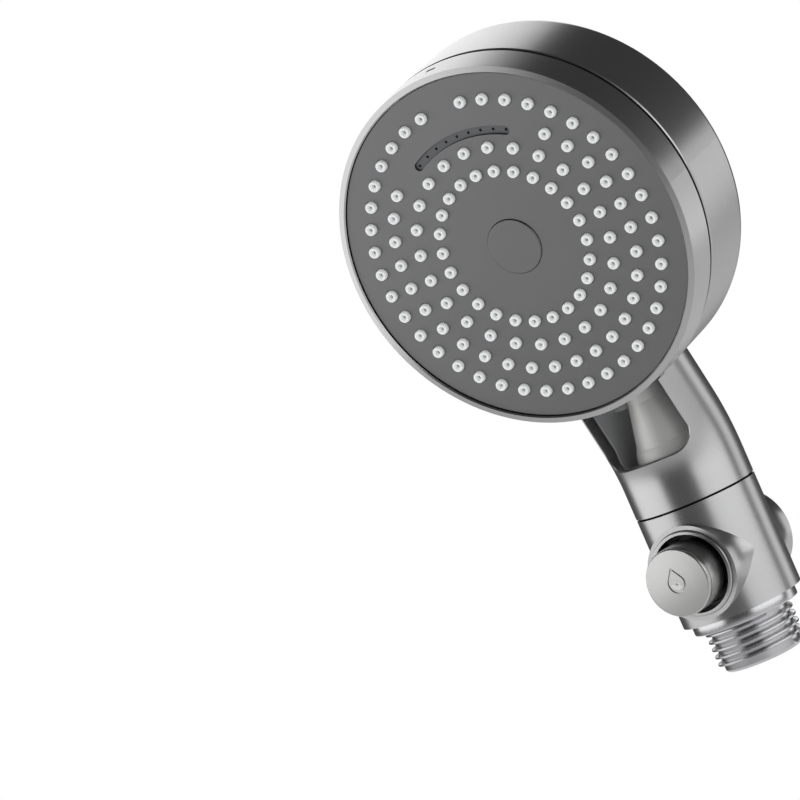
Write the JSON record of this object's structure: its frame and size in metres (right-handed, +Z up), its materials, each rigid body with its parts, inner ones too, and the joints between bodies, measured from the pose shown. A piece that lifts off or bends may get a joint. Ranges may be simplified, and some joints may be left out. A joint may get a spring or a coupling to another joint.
{
  "type": "handheld shower head",
  "caption": "Handheld shower head with a round multi-mode spray drum, a turning mode ring, an open U-shaped neck, a push-through stop valve and a pipe-thread inlet.",
  "frame": {"origin": "centre of the inlet nipple's end face, on the handle's axis", "axes": "+Z up the handle's axis to the drum, -Y the side that the water leaves from, +X to the right seen from the spray side's back; the part is symmetric left to right about the YZ plane"},
  "size_m": [0.0864, 0.0512, 0.156],
  "materials": {
    "gunmetal_plating": "satin",
    "face_metal": "matte",
    "satin_silver": "satin",
    "chrome": "polished",
    "clear_silicone": "satin",
    "black_rubber": "matte",
    "black_acetal": "moulded",
    "grey_plastic": "moulded",
    "steel": "bright",
    "steel_mesh": "woven",
    "black_inlay": "gloss"
  },
  "bodies": {
    "handle": {"rear_shell": "gunmetal_plating", "neck_shell": "gunmetal_plating", "lower_shell": "gunmetal_plating", "front_collar": "gunmetal_plating", "rear_collar": "gunmetal_plating", "neck_stem": "satin_silver", "inlet_nipple": "chrome", "nipple_seal": "black_rubber", "filter_washer": "black_rubber", "neck_gasket": "black_rubber", "stem_seals": "black_rubber", "port_seal": "black_rubber", "valve_core": "black_acetal", "water_manifold": "black_acetal", "neck_nut": "grey_plastic", "snap_ring": "steel", "neck_screws": "steel", "manifold_screws": "steel", "port_spring": "steel", "mode_ball": "steel", "mode_spring": "steel", "pivot_screw": "steel", "inlet_filter": "steel_mesh"},
    "spray_head": {"chamber_plate": "black_acetal", "nozzle_mat": "clear_silicone", "face_plate": "face_metal", "arc_insert": "grey_plastic", "centre_cap": "face_metal", "mode_ring": "gunmetal_plating", "pointer_inlay": "black_inlay", "face_screws": "steel"},
    "stop_spool": {"spool": "grey_plastic", "spool_seals": "black_rubber", "stop_cap": "satin_silver", "start_cap": "satin_silver"}
  },
  "joints": [
    {"name": "mode_turn", "type": "hinge", "parent": "handle", "child": "spray_head", "pos_m": [0, 0, 0.1138], "axis": [0, -0.9863, -0.165], "range_deg": [-45, 45]},
    {"name": "stop_push", "type": "slide", "parent": "handle", "child": "stop_spool", "axis": [0, 1, 0], "range_m": [0, 0.006]}
  ]
}
